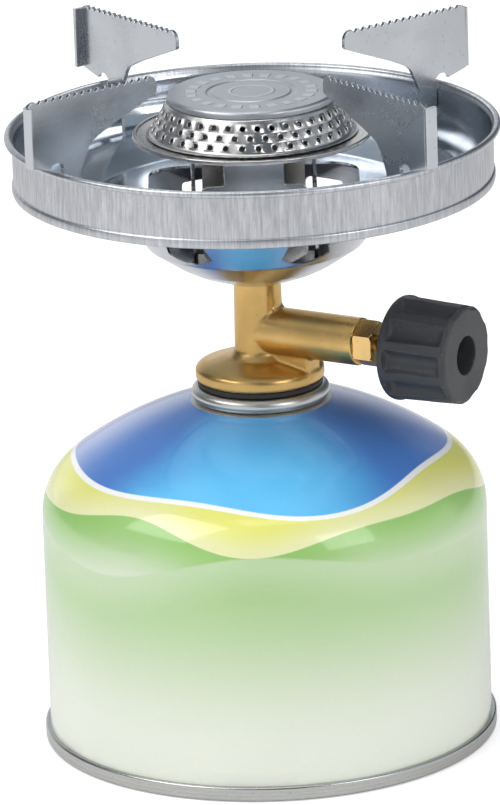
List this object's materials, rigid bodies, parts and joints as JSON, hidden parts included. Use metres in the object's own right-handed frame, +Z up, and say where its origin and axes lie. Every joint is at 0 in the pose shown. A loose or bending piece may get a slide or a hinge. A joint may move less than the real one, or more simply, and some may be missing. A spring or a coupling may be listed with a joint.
{
  "type": "camping stove",
  "caption": "Camping stove that screws onto a resealable gas cartridge, with a serrated pot stand, a drip pan, a perforated burner and a valve knob.",
  "frame": {"origin": "on the cartridge's axis, in the plane of the bottom seam that it stands on", "axes": "+Z up along the cartridge's axis, +X along the valve's arm towards the knob"},
  "size_m": [0.1262, 0.1262, 0.1699],
  "materials": {
    "printed_steel": null,
    "tinplate": "satin tinplate",
    "cup_steel": "satin",
    "brass": "satin forged",
    "turned_brass": "turned",
    "zinc_plate": "bright zinc plate",
    "bowl_steel": "polished",
    "stainless": "bright stainless",
    "cap_steel": "matt stamped",
    "support_steel": "matt zinc plate",
    "black_rubber": "matt",
    "knob_plastic": "matt moulded",
    "white_plastic": "moulded",
    "spring_steel": "drawn wire",
    "sintered_bronze": "sintered, porous"
  },
  "bodies": {
    "cartridge": {"cartridge_shell": "printed_steel", "cartridge_base": "tinplate", "valve_cup": "cup_steel", "valve_housing": "white_plastic", "valve_stem_seal": "black_rubber", "poppet_spring": "spring_steel"},
    "poppet": {"valve_poppet": "white_plastic"},
    "gasket_ring": {"base_gasket": "black_rubber"},
    "stove": {"valve_body": "brass", "opening_pin": "turned_brass", "inlet_filter": "sintered_bronze", "inlet_oring": "black_rubber", "gland_packing": "white_plastic", "gland_nut": "turned_brass", "clamp_washer": "stainless", "retaining_nut": "turned_brass", "jet": "turned_brass", "air_bowl": "bowl_steel", "pan": "zinc_plate", "burner_cradle": "stainless", "mixing_tube": "stainless", "burner_base": "stainless", "burner_cone": "stainless", "burner_cap": "cap_steel", "pot_support_1": "support_steel", "pot_support_2": "support_steel", "pot_support_3": "support_steel", "pot_support_4": "support_steel"},
    "spindle_ring": {"spindle_oring": "black_rubber"},
    "knob_set": {"spindle": "turned_brass", "knob": "knob_plastic", "knob_screw": "spring_steel"}
  },
  "joints": [
    {"name": "stove_lift", "type": "slide", "parent": "cartridge", "child": "gasket_ring", "axis": [0, 0, 1], "range_m": [0, 0.00544]},
    {"name": "stove_turn", "type": "hinge", "parent": "gasket_ring", "child": "stove", "pos_m": [0, 0, 0.088], "axis": [0, 0, 1], "range_deg": [0, 2160]},
    {"name": "needle_travel", "type": "slide", "parent": "stove", "child": "spindle_ring", "axis": [1, 0, 0], "range_m": [0, 0.00112]},
    {"name": "knob_turn", "type": "hinge", "parent": "spindle_ring", "child": "knob_set", "pos_m": [0.045, 0, 0.10134], "axis": [1, 0, 0], "range_deg": [0, 540]},
    {"name": "poppet_travel", "type": "slide", "parent": "cartridge", "child": "poppet", "axis": [0, 0, 1], "range_m": [-0.0008, 0], "stiffness_N_per_m": 200, "springref_m": 0.002, "deforming": ["poppet_spring"]}
  ],
  "couplings": [
    {"joint": "stove_lift", "follows": "stove_turn", "m_per_rad": 0.00014435},
    {"joint": "needle_travel", "follows": "knob_turn", "m_per_rad": 0.00011937}
  ]
}
